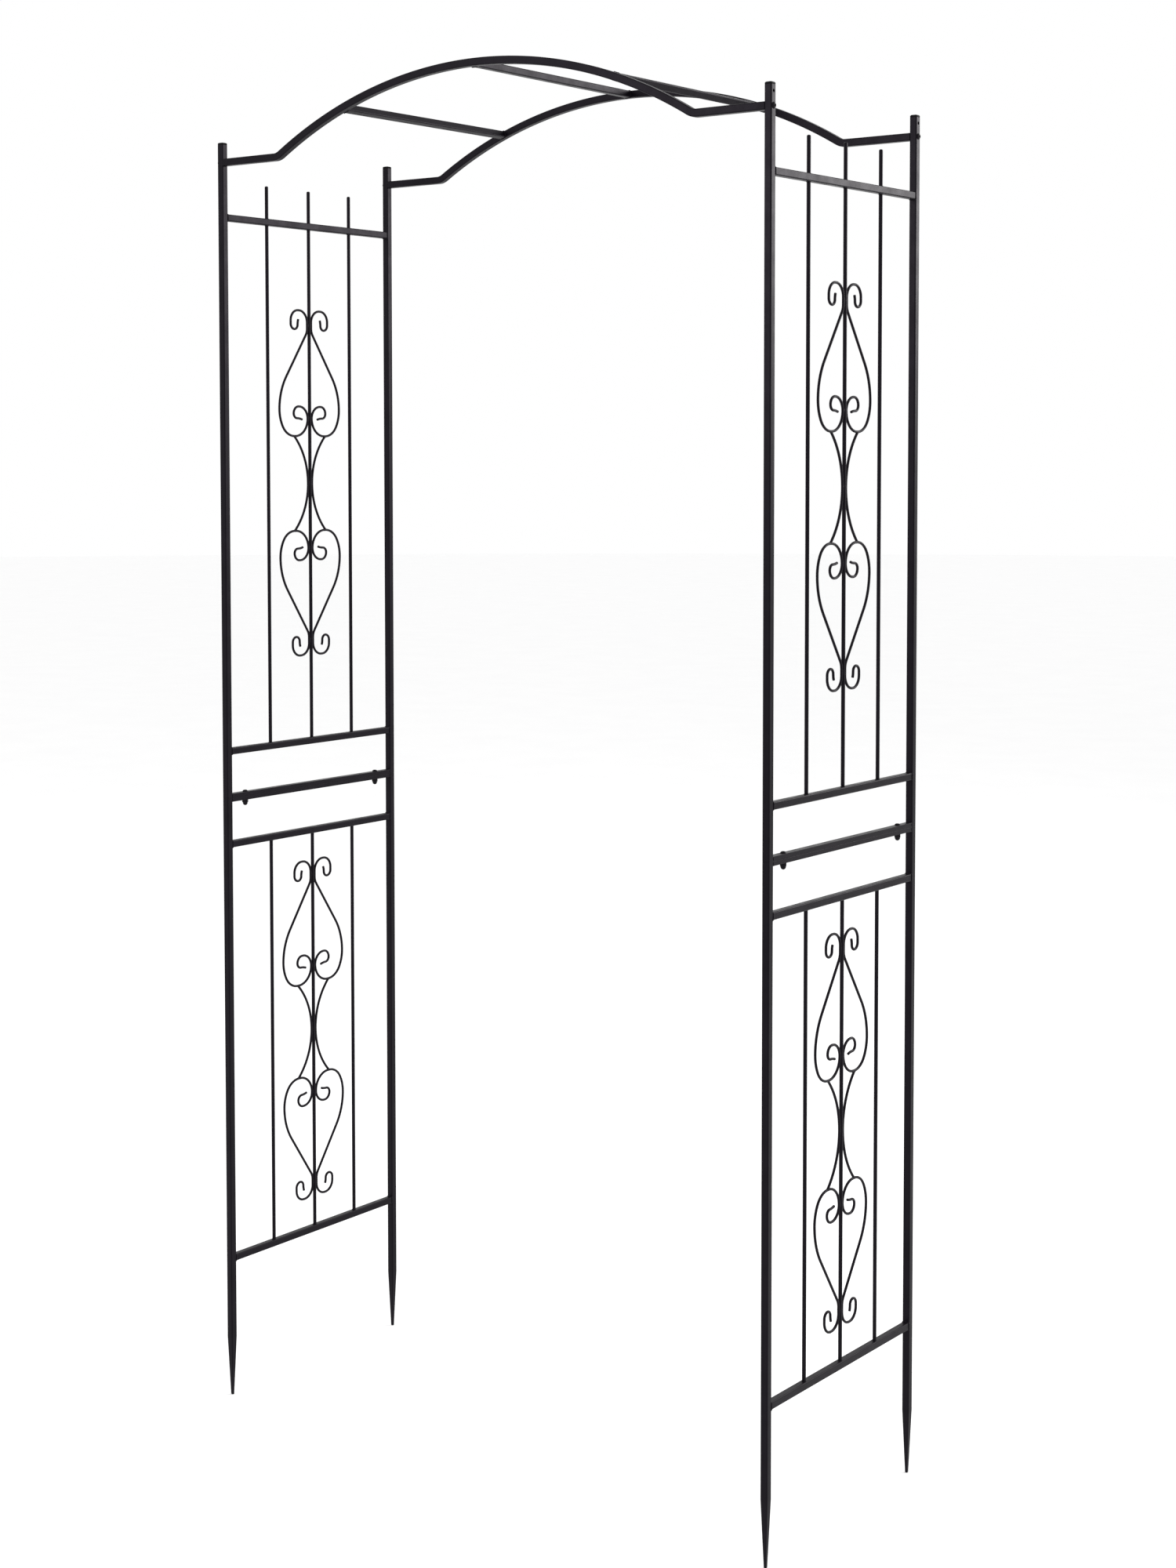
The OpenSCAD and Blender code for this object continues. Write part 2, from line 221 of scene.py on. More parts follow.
FRAME_COAT = powder_coat(
    "frame_powder_coat",
    dark=(0.0022, 0.0018, 0.0029),
    light=(0.0050, 0.0041, 0.0064),
    dust=(0.018, 0.016, 0.018),
    gloss=(0.30, 0.42),
)
FASTENER_COAT = powder_coat(
    "fastener_black_coat",
    dark=(0.0026, 0.0024, 0.0030),
    light=(0.0056, 0.0050, 0.0062),
    dust=(0.014, 0.013, 0.013),
    gloss=(0.24, 0.36),
)
CAP_PLASTIC = moulded_plastic(
    "cap_moulded_plastic", dark=(0.0030, 0.0030, 0.0034), light=(0.0060, 0.0058, 0.0066)
)
BARE_STEEL = bare_steel("bare_steel")

# ---------------------------------------------------------------- mesh tools

SHARP_ANGLE = 35
END_ROUND_STEPS = 3


class Shape:
    """Vertices and faces of one piece, gathered from any number of lofts."""

    def __init__(self):
        self.verts = []
        self.faces = []

    def loft(self, rings, loop=False):
        """Skin over rings of equal length. Each ring runs anticlockwise seen from the last one."""
        count = len(rings[0])
        base = len(self.verts)
        for ring in rings:
            self.verts.extend(tuple(p) for p in ring)
        pairs = len(rings) if loop else len(rings) - 1
        for r in range(pairs):
            a = base + r * count
            b = base + (r + 1) % len(rings) * count
            for i in range(count):
                j = (i + 1) % count
                self.faces.append((a + i, a + j, b + j, b + i))
        if not loop:
            self.faces.append(tuple(base + i for i in reversed(range(count))))
            last = base + (len(rings) - 1) * count
            self.faces.append(tuple(last + i for i in range(count)))


def lofted(rings, loop=False):
    """Shape of a single loft."""
    shape = Shape()
    shape.loft(rings, loop)
    return shape


def piece(name, shape, material, replaces=(), sharp=SHARP_ANGLE):
    """Adds the shape as a piece that rides on the only body."""
    mesh = bpy.data.meshes.new(name)
    mesh.from_pydata(shape.verts, [], shape.faces)
    mesh.validate()
    mesh.polygons.foreach_set("use_smooth", [True] * len(mesh.polygons))
    mesh.set_sharp_from_angle(angle=math.radians(sharp))
    mesh.materials.append(material)
    obj = bpy.data.objects.new(name, mesh)
    bpy.context.scene.collection.objects.link(obj)
    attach(obj, "root")
    if replaces:
        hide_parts(*replaces)
    return obj


def frame_piece(name, shape, *nodes, sharp=SHARP_ANGLE):
    """Piece in the frame's powder coat."""
    return piece(name, shape, FRAME_COAT, nodes, sharp)


def rounded_square(width, radius, segments=6, support=0.35 * MM):
    """Points round a square with rounded corners, with a support point beside each corner."""
    half = width / 2
    inner = half - radius
    corner = [(half, inner - support)]
    for i in range(segments + 1):
        a = math.pi / 2 * i / segments
        corner.append((inner + radius * math.cos(a), inner + radius * math.sin(a)))
    corner.append((inner - support, half))
    points = []
    for _ in range(4):
        points.extend(corner)
        corner = [(-y, x) for x, y in corner]
    return points


def circle(radius, count):
    return [
        (radius * math.cos(2 * math.pi * i / count), radius * math.sin(2 * math.pi * i / count))
        for i in range(count)
    ]


def ring_at(section, place, normal, binormal, scale=1.0):
    return [place + scale * (u * normal + v * binormal) for u, v in section]


def sweep_rings(section, path, binormal, end_round=0.0):
    """Rings of a section along a flat path of (place, direction), with rounded ends if asked."""
    stops = [(place, direction, 1.0) for place, direction in path]
    if end_round:
        reach = max(math.hypot(u, v) for u, v in section)
        first, leaving = path[0]
        last, arriving = path[-1]
        head, tail = [], []
        for step in range(END_ROUND_STEPS):
            a = math.radians(90 * step / END_ROUND_STEPS)
            scale = (reach - end_round * (1 - math.sin(a))) / reach
            inset = end_round - end_round * math.cos(a)
            head.append((first + inset * leaving, leaving, scale))
            tail.append((last - inset * arriving, arriving, scale))
        head.append((first + end_round * leaving, leaving, 1.0))
        tail.append((last - end_round * arriving, arriving, 1.0))
        stops = head + stops[1:-1] + tail[::-1]
    return [
        ring_at(section, place, binormal.cross(direction), binormal, scale)
        for place, direction, scale in stops
    ]


def straight_path(start, end, steps=1):
    direction = (end - start).normalized()
    return [(start.lerp(end, i / steps), direction) for i in range(steps + 1)]


def flat_arc(centre, radius, start, end, along, up, step):
    """(place, direction) along an arc in the plane of two axes, from angle start to end in degrees."""
    count = max(2, math.ceil(abs(end - start) / step))
    sign = 1 if end > start else -1
    path = []
    for i in range(count + 1):
        a = math.radians(start + (end - start) * i / count)
        place = centre + radius * (math.cos(a) * along + math.sin(a) * up)
        path.append((place, sign * (math.cos(a) * up - math.sin(a) * along)))
    return path


def joined(*paths):
    """One path from several that meet end to end."""
    whole = list(paths[0])
    for path in paths[1:]:
        whole.extend(path[1:])
    return whole


# ---------------------------------------------------------------- sizes from the CAD model


def box(node):
    low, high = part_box(node)
    return Vector(low), Vector(high)


def middle(node):
    low, high = box(node)
    return (low + high) / 2


def width(node):
    low, high = box(node)
    return high.x - low.x


def along_y(node):
    """Straight path along Y through the middle of a CAD node."""
    low, high = box(node)
    centre = middle(node)
    start = Vector((centre.x, low.y, centre.z))
    stop = Vector((centre.x, high.y, centre.z))
    return straight_path(start, stop, 6)


POST_W = width("left_front_upper_post")
RAIL_W = width("left_top_rail")
BAR_D = width("left_upper_middle_bar")
WIRE_D = width("left_upper_bows")
WALL = 1.0 * MM
TUBE_CORNER = 2.0 * MM
SEAM_ROUND = 0.3 * MM

POST_SECTION = rounded_square(POST_W, TUBE_CORNER)
POST_BORE = rounded_square(POST_W - 2 * WALL, TUBE_CORNER - WALL)
RAIL_SECTION = rounded_square(RAIL_W, TUBE_CORNER)

# ---------------------------------------------------------------- posts

# The spike's heights are in millimetres
SPIKE_H = 110.0
SPIKE_TIP_H = 2.4
SPIKE_TIP = 4.5 * MM
ARCH_BOLT_Z = middle("arch_bolts").z
SPARE_HOLE_Z = ARCH_BOLT_Z + 22 * MM
SPARE_HOLE_R = 2.75 * MM


def post_ring(centre, z, grow=0.0):
    """Outline of a post at a height, grown by a length on every side."""
    half = POST_W / 2
    place = Vector((centre.x, centre.y, z))
    return ring_at(POST_SECTION, place, X_AXIS, Y_AXIS, (half + grow) / half)


def hollow_post(centre, low_z, high_z):
    """Square tube wall, with the outer edges of both ends rounded off."""
    rings = [
        post_ring(centre, low_z, -SEAM_ROUND),
        post_ring(centre, low_z + SEAM_ROUND),
        post_ring(centre, high_z - SEAM_ROUND),
        post_ring(centre, high_z, -SEAM_ROUND),
    ]
    for z in (high_z, low_z):
        rings.append(ring_at(POST_BORE, Vector((centre.x, centre.y, z)), X_AXIS, Y_AXIS))
    return lofted(rings, loop=True)


def spike_levels():
    """(height in millimetres, share of the post's width) up the spike from its blunt tip."""
    tip = SPIKE_TIP / POST_W
    levels = [(0.0, tip * 0.55), (0.4, tip * 0.82), (1.2, tip * 0.97), (SPIKE_TIP_H, tip * 1.02)]
    for i in range(1, 20):
        part = i / 20
        height = SPIKE_TIP_H + (SPIKE_H - SPIKE_TIP_H) * part
        levels.append((height, tip + (1 - tip) * part ** 0.96))
    levels.extend([(SPIKE_H, 1.004), (SPIKE_H + 3, 1.0), (SPIKE_H + 8, 1.0)])
    return levels


def spiked_post(centre, low_z, high_z):
    """Post that tapers to a spike at its foot, with a rounded edge at the seam."""
    rings = []
    for height, share in spike_levels():
        place = Vector((centre.x, centre.y, low_z + height * MM))
        rings.append(ring_at(POST_SECTION, place, X_AXIS, Y_AXIS, share))
    rings.append(post_ring(centre, high_z - SEAM_ROUND))
    rings.append(post_ring(centre, high_z, -SEAM_ROUND))
    return lofted(rings)


def cut_hole(obj, centre, radius, length):
    """Cuts a round hole along X."""
    reach = length / 2 * X_AXIS
    path = straight_path(centre - reach, centre + reach)
    drill = lofted(sweep_rings(circle(radius, 32), path, Y_AXIS))
    mesh = bpy.data.meshes.new("cutter")
    mesh.from_pydata(drill.verts, [], drill.faces)
    cutter = bpy.data.objects.new("cutter", mesh)
    bpy.context.scene.collection.objects.link(cutter)
    modifier = obj.modifiers.new("hole", "BOOLEAN")
    modifier.operation = "DIFFERENCE"
    modifier.solver = "EXACT"
    modifier.object = cutter
    graph = bpy.context.evaluated_depsgraph_get()
    cut = bpy.data.meshes.new_from_object(obj.evaluated_get(graph))
    obj.modifiers.remove(modifier)
    obj.data = cut
    cut.set_sharp_from_angle(angle=math.radians(SHARP_ANGLE))
    bpy.data.objects.remove(cutter)


for side, sx in SIDES:
    for end, _ in ENDS:
        node = f"{side}_{end}_upper_post"
        low, high = box(node)
        centre = middle(node)
        post = frame_piece(f"{node}_tube", hollow_post(centre, low.z, high.z), node)
        hole = Vector((centre.x + sx * (POST_W - WALL) / 2, centre.y, SPARE_HOLE_Z))
        cut_hole(post, hole, SPARE_HOLE_R, 3 * WALL)

        node = f"{side}_{end}_lower_post"
        low, high = box(node)
        frame_piece(f"{node}_tube", spiked_post(middle(node), low.z, high.z), node)

# ---------------------------------------------------------------- rails and bars

TUBE_RAILS = ("top_rail", "upper_sill", "lower_head", "bottom_rail")
JOINT_RAILS = ("upper_joint_rail", "lower_joint_rail")
BAR_PLACES = ("front", "middle", "back")
FLAT_EDGE = 0.8 * MM
BAR_TIP_ROUND = 2.2 * MM


def rail_tube(node):
    """Square tube in a rail's place."""
    frame_piece(f"{node}_tube", lofted(sweep_rings(RAIL_SECTION, along_y(node), X_AXIS)), node)


def joint_flat(node):
    """Flat bar with eased edges in a joint rail's place."""
    low, high = box(node)
    size = high - low
    unit = rounded_square(1.0, FLAT_EDGE / size.x, segments=4, support=0.02)
    section = [(u * size.z, v * size.x) for u, v in unit]
    frame_piece(f"{node}_flat", lofted(sweep_rings(section, along_y(node), X_AXIS)), node)


def bar_rod(node, tip_round):
    """Round bar in a CAD bar's place."""
    low, high = box(node)
    centre = middle(node)
    foot = Vector((centre.x, centre.y, low.z))
    tip = Vector((centre.x, centre.y, high.z))
    rings = sweep_rings(circle(BAR_D / 2, 20), straight_path(foot, tip, 8), X_AXIS, tip_round)
    frame_piece(f"{node}_rod", lofted(rings), node)


for side, _ in SIDES:
    for rail in TUBE_RAILS:
        rail_tube(f"{side}_{rail}")
    for rail in JOINT_RAILS:
        joint_flat(f"{side}_{rail}")
    for half_name in HALVES:
        tip_round = BAR_TIP_ROUND if half_name == "upper" else 0
        for place in BAR_PLACES:
            bar_rod(f"{side}_{half_name}_{place}_bar", tip_round)

# ---------------------------------------------------------------- scrollwork

# Millimetres and degrees up to panel_path. A bend is (radius, turn, straight run after it) and
# clockwise, or anticlockwise with a negative radius.
BELLY_R, BELLY_TURN = 64.0, 30
SHOULDER_R = 110.0
BIG_CURL_R = 35.0
BIG_CURL_RUN = 3.5
BIG_INNER_R = 33.0
BIG_CURL = (
    (BIG_CURL_R, 60, BIG_CURL_RUN),
    (BIG_INNER_R, 90, 0),
    (22.5, 90, 2.0),
    (13.0, 90, 0),
    (9.0, 90, 0),
    (-40.0, 20, 0),
)
SMALL_CURL_R = 22.0
SMALL_CURL = (
    (SMALL_CURL_R, 90, 2.5),
    (19.5, 90, 6.0),
    (10.0, 90, 0),
    (8.5, 90, 0),
    (-30.0, 20, 0),
)
BEND_STEP = 6
BEND_CHORD = 4
# A wire's middle line is this far from the bar's where they touch
TOUCH = (BAR_D + WIRE_D) / 2 / MM
# A bow ends where the big curl is lowest, and that curl touches the middle bar
BOW_HALF = 89.0
BOW_END = TOUCH + BIG_INNER_R + BIG_CURL_RUN
BIG_CURL_Z = BOW_HALF + BIG_CURL_R
SMALL_CURL_Z = 302.5
NECK_RUN = 11.5
WIRE_TIP_ROUND = 0.8 * MM
WIRE_SECTION = circle(WIRE_D / 2, 14)


def bent_wire(place, heading, bends):
    """(place, heading in radians) along a wire bent in a plane, without its first point."""
    points = []
    for radius, turn, run in bends:
        centre = place + radius * Vector((math.sin(heading), -math.cos(heading)))
        length = abs(radius) * math.radians(turn)
        steps = max(2, math.ceil(turn / BEND_STEP), math.ceil(length / BEND_CHORD))
        first = heading
        for i in range(1, steps + 1):
            heading = first - math.copysign(math.radians(turn) * i / steps, radius)
            place = centre - radius * Vector((math.sin(heading), -math.cos(heading)))
            points.append((place, heading))
        if run:
            place = place + run * Vector((math.cos(heading), math.sin(heading)))
            points.append((place, heading))
    return points


def scroll_path():
    """(place, heading) of one S-shaped wire, from the small curl's tip."""
    belly = math.radians(BELLY_TURN)
    inward = Vector((math.cos(belly), -math.sin(belly)))
    big_centre = Vector((BOW_END, BIG_CURL_Z))
    belly_centre = big_centre - (BELLY_R - BIG_CURL_R) * inward
    widest = belly_centre + Vector((BELLY_R, 0))
    shoulder_centre = widest - Vector((SHOULDER_R, 0))
    neck_centre = Vector((TOUCH + SMALL_CURL_R, SMALL_CURL_Z - NECK_RUN))
    gap = neck_centre - shoulder_centre
    reach = SHOULDER_R + SMALL_CURL_R
    turn = math.degrees(math.atan2(gap.y, gap.x) - math.acos(reach / gap.length))
    flank = math.sqrt(gap.length ** 2 - reach ** 2)
    shoulder = (-SHOULDER_R, turn, flank)
    neck = (SMALL_CURL_R, turn, NECK_RUN)
    upward = bent_wire(widest, math.pi / 2, (shoulder, neck) + SMALL_CURL)
    downward = bent_wire(widest, -math.pi / 2, ((BELLY_R, BELLY_TURN, 0),) + BIG_CURL)
    back = [(place, heading + math.pi) for place, heading in reversed(upward)]
    return back + [(widest, -math.pi / 2)] + downward


def bow_path():
    """(place, heading) of one bow wire, from its lower end."""
    sag = BOW_END - TOUCH
    radius = (BOW_HALF ** 2 + sag ** 2) / (2 * sag)
    turn = math.degrees(math.asin(BOW_HALF / radius))
    start = Vector((BOW_END, -BOW_HALF))
    heading = math.radians(90 + turn)
    return [(start, heading)] + bent_wire(start, heading, ((radius, 2 * turn, 0),))


def panel_path(points, origin, across, up):
    """Path in a panel's plane, in metres, mirrored by the signs across and up."""
    return [
        (
            origin + MM * (place.x * across * Y_AXIS + place.y * up * Z_AXIS),
            math.cos(heading) * across * Y_AXIS + math.sin(heading) * up * Z_AXIS,
        )
        for place, heading in points
    ]


def wires(node, points, origin, ups):
    """One panel's wires: a path on both sides of the middle bar, with each sign in ups."""
    shape = Shape()
    for across in (1, -1):
        for up in ups:
            path = panel_path(points, origin, across, up)
            shape.loft(sweep_rings(WIRE_SECTION, path, X_AXIS, WIRE_TIP_ROUND))
    frame_piece(f"{node}_wire", shape, node)


SCROLL_PATH = scroll_path()
BOW_PATH = bow_path()
for side, _ in SIDES:
    for half_name in HALVES:
        origin = middle(f"{side}_{half_name}_scrolls")
        wires(f"{side}_{half_name}_scrolls", SCROLL_PATH, origin, ups=(1, -1))
        wires(f"{side}_{half_name}_bows", BOW_PATH, origin, ups=(1,))

# ---------------------------------------------------------------- arch

ARCH_R = 872 * MM
ARCH_BEND_R = 30 * MM
BEND_STEP_ANGLE = 3
CROWN_STEP_ANGLE = 0.7


def arch_path(low, high):
    """Middle line of an arch tube: two level ends, two upward bends and one crown arc."""
    rise = high.z - low.z - POST_W
    end_z = low.z + POST_W / 2
    reach = ARCH_R + ARCH_BEND_R
    turn = math.degrees(math.acos((reach - rise) / reach))
    bend_x = reach * math.sin(math.radians(turn))
    y = (low.y + high.y) / 2
    crown = Vector((0, y, end_z + rise - ARCH_R))
    left_bend = Vector((-bend_x, y, end_z + ARCH_BEND_R))
    right_bend = Vector((bend_x, y, end_z + ARCH_BEND_R))
    return joined(
        straight_path(Vector((low.x, y, end_z)), Vector((-bend_x, y, end_z)), 3),
        flat_arc(left_bend, ARCH_BEND_R, -90, -90 + turn, X_AXIS, Z_AXIS, BEND_STEP_ANGLE),
        flat_arc(crown, ARCH_R, 90 + turn, 90 - turn, X_AXIS, Z_AXIS, CROWN_STEP_ANGLE),
        flat_arc(right_bend, ARCH_BEND_R, -90 - turn, -90, X_AXIS, Z_AXIS, BEND_STEP_ANGLE),
        straight_path(Vector((bend_x, y, end_z)), Vector((high.x, y, end_z)), 3),
    )


def cross_bar(node, arc_centre_z):
    """Square tube turned to face the crown arc. Returns its two ends and its section's axes."""
    centre = middle(node)
    lean = math.atan2(centre.x, centre.z - arc_centre_z)
    out = Vector((math.sin(lean), 0, math.cos(lean)))
    beside = Vector((math.cos(lean), 0, -math.sin(lean)))
    path = along_y(node)
    rings = [ring_at(RAIL_SECTION, place, out, beside) for place, _ in path]
    frame_piece(f"{node}_tube", lofted(rings), node)
    return path[0][0], path[-1][0], out, beside


for end, _ in ENDS:
    node = f"{end}_arch_tube"
    path = arch_path(*box(node))
    frame_piece(f"{node}_bent", lofted(sweep_rings(POST_SECTION, path, Y_AXIS)), node)

CROWN_CENTRE_Z = box("front_arch_tube")[1].z - POST_W / 2 - ARCH_R
CROSS_BARS = [
    cross_bar(f"{name}_cross_bar", CROWN_CENTRE_Z) for name in ("left", "middle", "right")
]

# ---------------------------------------------------------------- caps, bolts and nuts

HEAD_R = 5.25 * MM
HEAD_H = 3.5 * MM
SOCKET_RIM_R = 2.5 * MM
SOCKET_FLATS = 4.0 * MM
SOCKET_DEPTH = 2.0 * MM
NUT_FLATS = 10 * MM
NUT_H = 5.5 * MM
NUT_CORNER_R = 6.0 * MM
NUT_DOME_R = 4.55 * MM
NUT_DOME_H = 5.2 * MM
CAP_SKIRT = 0.42
CAP_CROWN_IN = 3.4 * MM
CAP_TOP_IN = 4.6 * MM


def hexagon_reach(angle, across_flats):
    """Distance from the middle of a hexagon to its side in a direction, in degrees."""
    return across_flats / 2 / math.cos(math.radians((angle % 60) - 30))


def turned(shape, seat, axis, aside, profile, count=48):
    """Loft of rings about an axis. Each profile row is (height, function of the angle in degrees)."""
    other = axis.cross(aside)
    rings = []
    for height, reach in profile:
        ring = []
        for i in range(count):
            degrees = 360 * i / count
            a = math.radians(degrees)
            r = reach(degrees)
            ring.append(seat + height * axis + r * (math.cos(a) * aside + math.sin(a) * other))
        rings.append(ring)
    shape.loft(rings)


def steady(radius):
    return lambda degrees: radius


def bolt_head(shape, seat, axis, aside):
    """Domed head with a rolled rim and a hexagon socket."""
    dome_r = (HEAD_R ** 2 + HEAD_H ** 2) / (2 * HEAD_H)
    profile = [(0, steady(HEAD_R - 0.25 * MM)), (0.2 * MM, steady(HEAD_R))]
    for i in range(1, 9):
        z = HEAD_H * (0.12 + 0.86 * (i / 9) ** 0.8)
        reach = math.sqrt(max(dome_r ** 2 - (z - HEAD_H + dome_r) ** 2, 0))
        if reach > SOCKET_RIM_R + 0.2 * MM:
            profile.append((z, steady(reach)))
    top = profile[-1][0] + 0.12 * MM
    profile.append((top, steady(SOCKET_RIM_R)))
    profile.append((top - 0.05 * MM, lambda d: hexagon_reach(d, SOCKET_FLATS + 0.3 * MM)))
    profile.append((top - 0.3 * MM, lambda d: hexagon_reach(d, SOCKET_FLATS)))
    profile.append((top - SOCKET_DEPTH, lambda d: hexagon_reach(d, SOCKET_FLATS)))
    profile.append((top - SOCKET_DEPTH - 0.3 * MM, steady(0.3 * MM)))
    turned(shape, seat, axis, aside, profile)


def cap_nut(shape, seat, axis, aside):
    """Closed hexagon nut with chamfered corners and a dome."""
    def clipped(limit):
        return lambda d: min(hexagon_reach(d, NUT_FLATS), limit)

    dome_z = NUT_H + 0.25 * MM
    profile = [
        (0, clipped(NUT_FLATS / 2)),
        (0.5 * MM, clipped(NUT_CORNER_R - 0.3 * MM)),
        (1.0 * MM, clipped(NUT_CORNER_R)),
        (NUT_H - 1.1 * MM, clipped(NUT_CORNER_R)),
        (NUT_H - 0.5 * MM, clipped(NUT_CORNER_R - 0.5 * MM)),
        (NUT_H, steady(NUT_DOME_R + 0.2 * MM)),
        (dome_z, steady(NUT_DOME_R)),
    ]
    for i in range(1, 10):
        a = math.radians(10 * i)
        reach = max(NUT_DOME_R * math.cos(a), 0.15 * MM)
        profile.append((dome_z + NUT_DOME_H * math.sin(a), steady(reach)))
    turned(shape, seat, axis, aside, profile, 60)


def post_cap(shape, centre, base_z, top_z):
    """Square plastic cap: a thin shadow gap at the post, a straight skirt and a rounded crown."""
    height = top_z - base_z
    skirt = height * CAP_SKIRT
    levels = [(0, -0.5 * MM), (0.25 * MM, -0.45 * MM), (0.3 * MM, 0), (skirt, 0)]
    for i in range(1, 10):
        a = math.radians(10 * i)
        rise = height * (1 - CAP_SKIRT) * math.sin(a)
        levels.append((skirt + rise, -CAP_CROWN_IN * (1 - math.cos(a))))
    levels.append((height, -CAP_TOP_IN))
    shape.loft([post_ring(centre, base_z + z, grow) for z, grow in levels])


caps = Shape()
arch_bolts = Shape()
cap_top = box("post_caps")[1].z
for side, sx in SIDES:
    for end, _ in ENDS:
        node = f"{side}_{end}_upper_post"
        centre = middle(node)
        post_cap(caps, centre, box(node)[1].z, cap_top)
        seat = Vector((centre.x + sx * POST_W / 2, centre.y, ARCH_BOLT_Z))
        bolt_head(arch_bolts, seat, sx * X_AXIS, Z_AXIS)
piece("post_caps_moulded", caps, CAP_PLASTIC, ["post_caps"])
piece("arch_bolts_domed", arch_bolts, FASTENER_COAT, ["arch_bolts"])

joint_bolts = Shape()
joint_nuts = Shape()
bolt_reach_y = box("joint_bolts")[1].y - HEAD_R
for side, _ in SIDES:
    x = middle(f"{side}_upper_joint_rail").x
    head_z = box(f"{side}_upper_joint_rail")[1].z
    nut_z = box(f"{side}_lower_joint_rail")[0].z
    for _, ey in ENDS:
        y = ey * bolt_reach_y
        bolt_head(joint_bolts, Vector((x, y, head_z)), Z_AXIS, X_AXIS)
        cap_nut(joint_nuts, Vector((x, y, nut_z)), -Z_AXIS, X_AXIS)
piece("joint_bolts_domed", joint_bolts, FASTENER_COAT, ["joint_bolts"])
piece("joint_cap_nuts_hex", joint_nuts, FASTENER_COAT, ["joint_cap_nuts"])

# ---------------------------------------------------------------- welds

BEAD_SPACING = 0.8 * MM
RAIL_BEAD_R = 1.15 * MM
BAR_BEAD_R = 0.8 * MM
RIPPLE_POINTS = 3.2
WELD_SHARP = 80
RAIL_SEAT = rounded_square(RAIL_W + 0.3 * MM, TUBE_CORNER, segments=3)
BAR_SEAT = circle(BAR_D / 2 + 0.1 * MM, 24)
# Tack sizes are (length, radius)
JOINT_TACK = (7.6 * MM, 1.25 * MM)
CURL_TACK = (9 * MM, 1.1 * MM)
BOW_END_TACK = (7 * MM, 1.5 * MM)
BOW_TACK = (10 * MM, 1.1 * MM)
JOINT_TACK_IN = 0.4 * MM
TACK_OUT = 1.1 * MM
BOW_END_OUT = 0.7 * MM
TACK_STEPS = 12
PANEL_RAILS = {"upper": ("top_rail", "upper_sill"), "lower": ("lower_head", "bottom_rail")}


def weld_loop(shape, points, radius, plane_normal, rng):
    """Closed weld bead along points, rippled like a hand-laid bead under paint."""
    count = len(points)
    rings = []
    swell = rng.random() * math.tau
    for i, place in enumerate(points):
        direction = (points[(i + 1) % count] - points[i - 1]).normalized()
        side_axis = plane_normal.cross(direction)
        ripple = math.sin(math.tau * i / RIPPLE_POINTS + swell)
        drift = math.sin(math.tau * 2 * i / count + swell)
        r = radius * (1 + 0.10 * ripple + 0.10 * drift)
        r *= 1 + 0.08 * (rng.random() - 0.5)
        rings.append(ring_at(circle(r, 8), place, side_axis, plane_normal))
    shape.loft(rings, loop=True)


def loop_points(section, centre, first, second):
    """Evenly spaced points round a closed section."""
    corners = [centre + u * first + v * second for u, v in section]
    corners.append(corners[0])
    points = []
    for a, b in zip(corners, corners[1:]):
        steps = max(1, round((b - a).length / BEAD_SPACING))
        points.extend(a.lerp(b, i / steps) for i in range(steps))
    return points


def tack(shape, place, size, along, aside, rng):
    """Short lumpy weld between two wires, rounded at both ends."""
    length, radius = size
    out = along.cross(aside)
    rings = []
    for i in range(TACK_STEPS + 1):
        t = -1 + 2 * i / TACK_STEPS
        swell = math.sqrt(max(1 - t * t, 0.012))
        r = radius * swell * (1 + 0.14 * (rng.random() - 0.5))
        rings.append(ring_at(circle(r, 10), place + t * length / 2 * along, aside, out))
    shape.loft(rings)


def rail_end_welds(shape, node, rng):
    """Beads round both ends of a square rail."""
    low, high = box(node)
    centre = middle(node)
    for y in (low.y, high.y):
        seat = Vector((centre.x, y, centre.z))
        points = loop_points(RAIL_SEAT, seat, X_AXIS, Z_AXIS)
        weld_loop(shape, points, RAIL_BEAD_R, Y_AXIS, rng)


def joint_rail_welds(shape, node, rng):
    """Upright tacks on both faces of a joint rail, where it meets the posts."""
    low, high = box(node)
    centre = middle(node)
    for y in (low.y, high.y):
        for x in (low.x, high.x):
            inward = math.copysign(JOINT_TACK_IN, centre.x - x)
            place = Vector((x + inward, y, centre.z))
            tack(shape, place, JOINT_TACK, Z_AXIS, X_AXIS, rng)


def bar_welds(shape, side, half_name, rng):
    """Beads round a panel's bars where they meet or leave its rails."""
    head, foot = PANEL_RAILS[half_name]
    head_low, head_high = box(f"{side}_{head}")
    levels = [box(f"{side}_{foot}")[1].z, head_low.z]
    if half_name == "upper":
        levels.append(head_high.z)
    for place in BAR_PLACES:
        centre = middle(f"{side}_{half_name}_{place}_bar")
        for z in levels:
            points = loop_points(BAR_SEAT, Vector((centre.x, centre.y, z)), X_AXIS, Y_AXIS)
            weld_loop(shape, points, BAR_BEAD_R, Z_AXIS, rng)


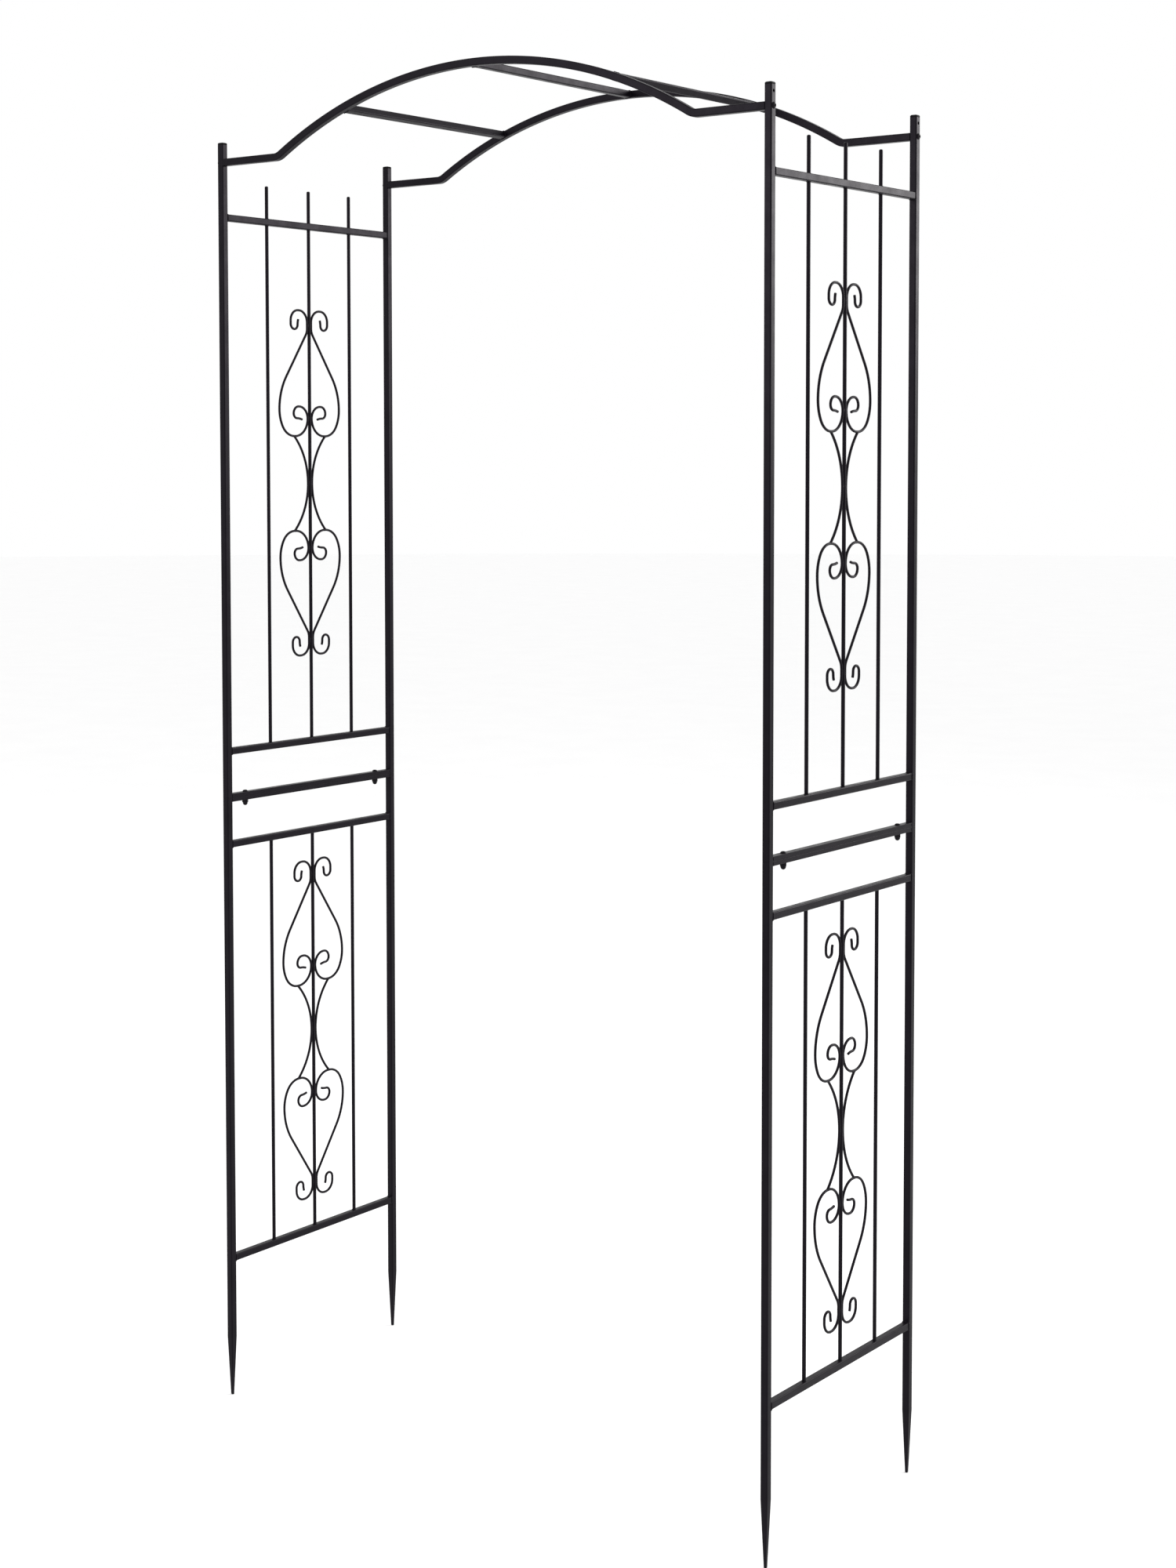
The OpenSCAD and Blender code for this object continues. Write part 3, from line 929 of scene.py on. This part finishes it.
def scroll_welds(shape, origin, rng):
    """Tacks on both faces of a panel, where its wires touch the middle bar and each other."""
    bar_side = BAR_D / 2 + 0.1 * MM
    curl_heights = (SMALL_CURL_Z - NECK_RUN / 2, BOW_HALF + BIG_INNER_R)
    bow_end = BOW_END * MM
    bow_top = (BOW_HALF - 1.0) * MM
    for across in (1, -1):
        for up in (1, -1):
            for height in curl_heights:
                for face in (1, -1):
                    offset = Vector((face * TACK_OUT, across * bar_side, up * height * MM))
                    tack(shape, origin + offset, CURL_TACK, Z_AXIS, X_AXIS, rng)
            for face in (1, -1):
                offset = Vector((face * BOW_END_OUT, across * bow_end, up * bow_top))
                tack(shape, origin + offset, BOW_END_TACK, Y_AXIS, X_AXIS, rng)
        for face in (1, -1):
            offset = Vector((face * TACK_OUT, across * bar_side, 0))
            tack(shape, origin + offset, BOW_TACK, Z_AXIS, X_AXIS, rng)


for side, sx in SIDES:
    rng = random.Random(11 + sx)
    shape = Shape()
    for rail in TUBE_RAILS:
        rail_end_welds(shape, f"{side}_{rail}", rng)
    for rail in JOINT_RAILS:
        joint_rail_welds(shape, f"{side}_{rail}", rng)
    for half_name in HALVES:
        bar_welds(shape, side, half_name, rng)
        scroll_welds(shape, middle(f"{side}_{half_name}_scrolls"), rng)
    frame_piece(f"{side}_panel_welds", shape, sharp=WELD_SHARP)

roof_welds = Shape()
rng = random.Random(29)
for start, stop, out, beside in CROSS_BARS:
    for seat in (start, stop):
        points = loop_points(RAIL_SEAT, seat, out, beside)
        weld_loop(roof_welds, points, RAIL_BEAD_R, Y_AXIS, rng)
frame_piece("roof_welds", roof_welds, sharp=WELD_SHARP)

# The sleeves and tapped blocks inside the tubes keep their CAD shape
for hidden in ("post_plugs", "arch_nut_blocks"):
    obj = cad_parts[hidden]
    obj.data.materials.clear()
    obj.data.materials.append(BARE_STEEL)

# ---------------------------------------------------------------- stage and light

FLOOR_R = 40.0


def make_stage():
    rim = [(x, y, 0) for x, y in circle(FLOOR_R, 96)]
    mesh = bpy.data.meshes.new("floor")
    mesh.from_pydata(rim, [], [tuple(range(len(rim)))])
    mesh.materials.append(pale_floor("floor_pale"))
    floor = bpy.data.objects.new("floor", mesh)
    bpy.context.scene.collection.objects.link(floor)


def area_light(name, place, target, size, power, colour):
    data = bpy.data.lights.new(name, "AREA")
    data.shape = "RECTANGLE"
    data.size, data.size_y = size
    data.energy = power
    data.color = colour
    light = bpy.data.objects.new(name, data)
    bpy.context.scene.collection.objects.link(light)
    direction = Vector(target) - Vector(place)
    light.matrix_world = (
        Matrix.Translation(place) @ direction.to_track_quat("-Z", "Y").to_matrix().to_4x4()
    )


def make_world():
    world = bpy.data.worlds.new("studio")
    bpy.context.scene.world = world
    world.use_nodes = True
    background = world.node_tree.nodes["Background"]
    background.inputs["Color"].default_value = (1.0, 1.0, 1.0, 1)
    background.inputs["Strength"].default_value = 1.0


make_stage()
make_world()
area_light(
    "back_right",
    place=(3.2, 4.2, 3.3),
    target=(0, 0, 1.7),
    size=(2.8, 2.4),
    power=175,
    colour=(1.0, 0.99, 0.98),
)
area_light(
    "front_left",
    place=(-1.9, -4.4, 3.0),
    target=(0.6, 0, 1.6),
    size=(1.3, 2.2),
    power=45,
    colour=(1.0, 0.98, 1.0),
)
bpy.context.scene.view_settings.view_transform = "Standard"
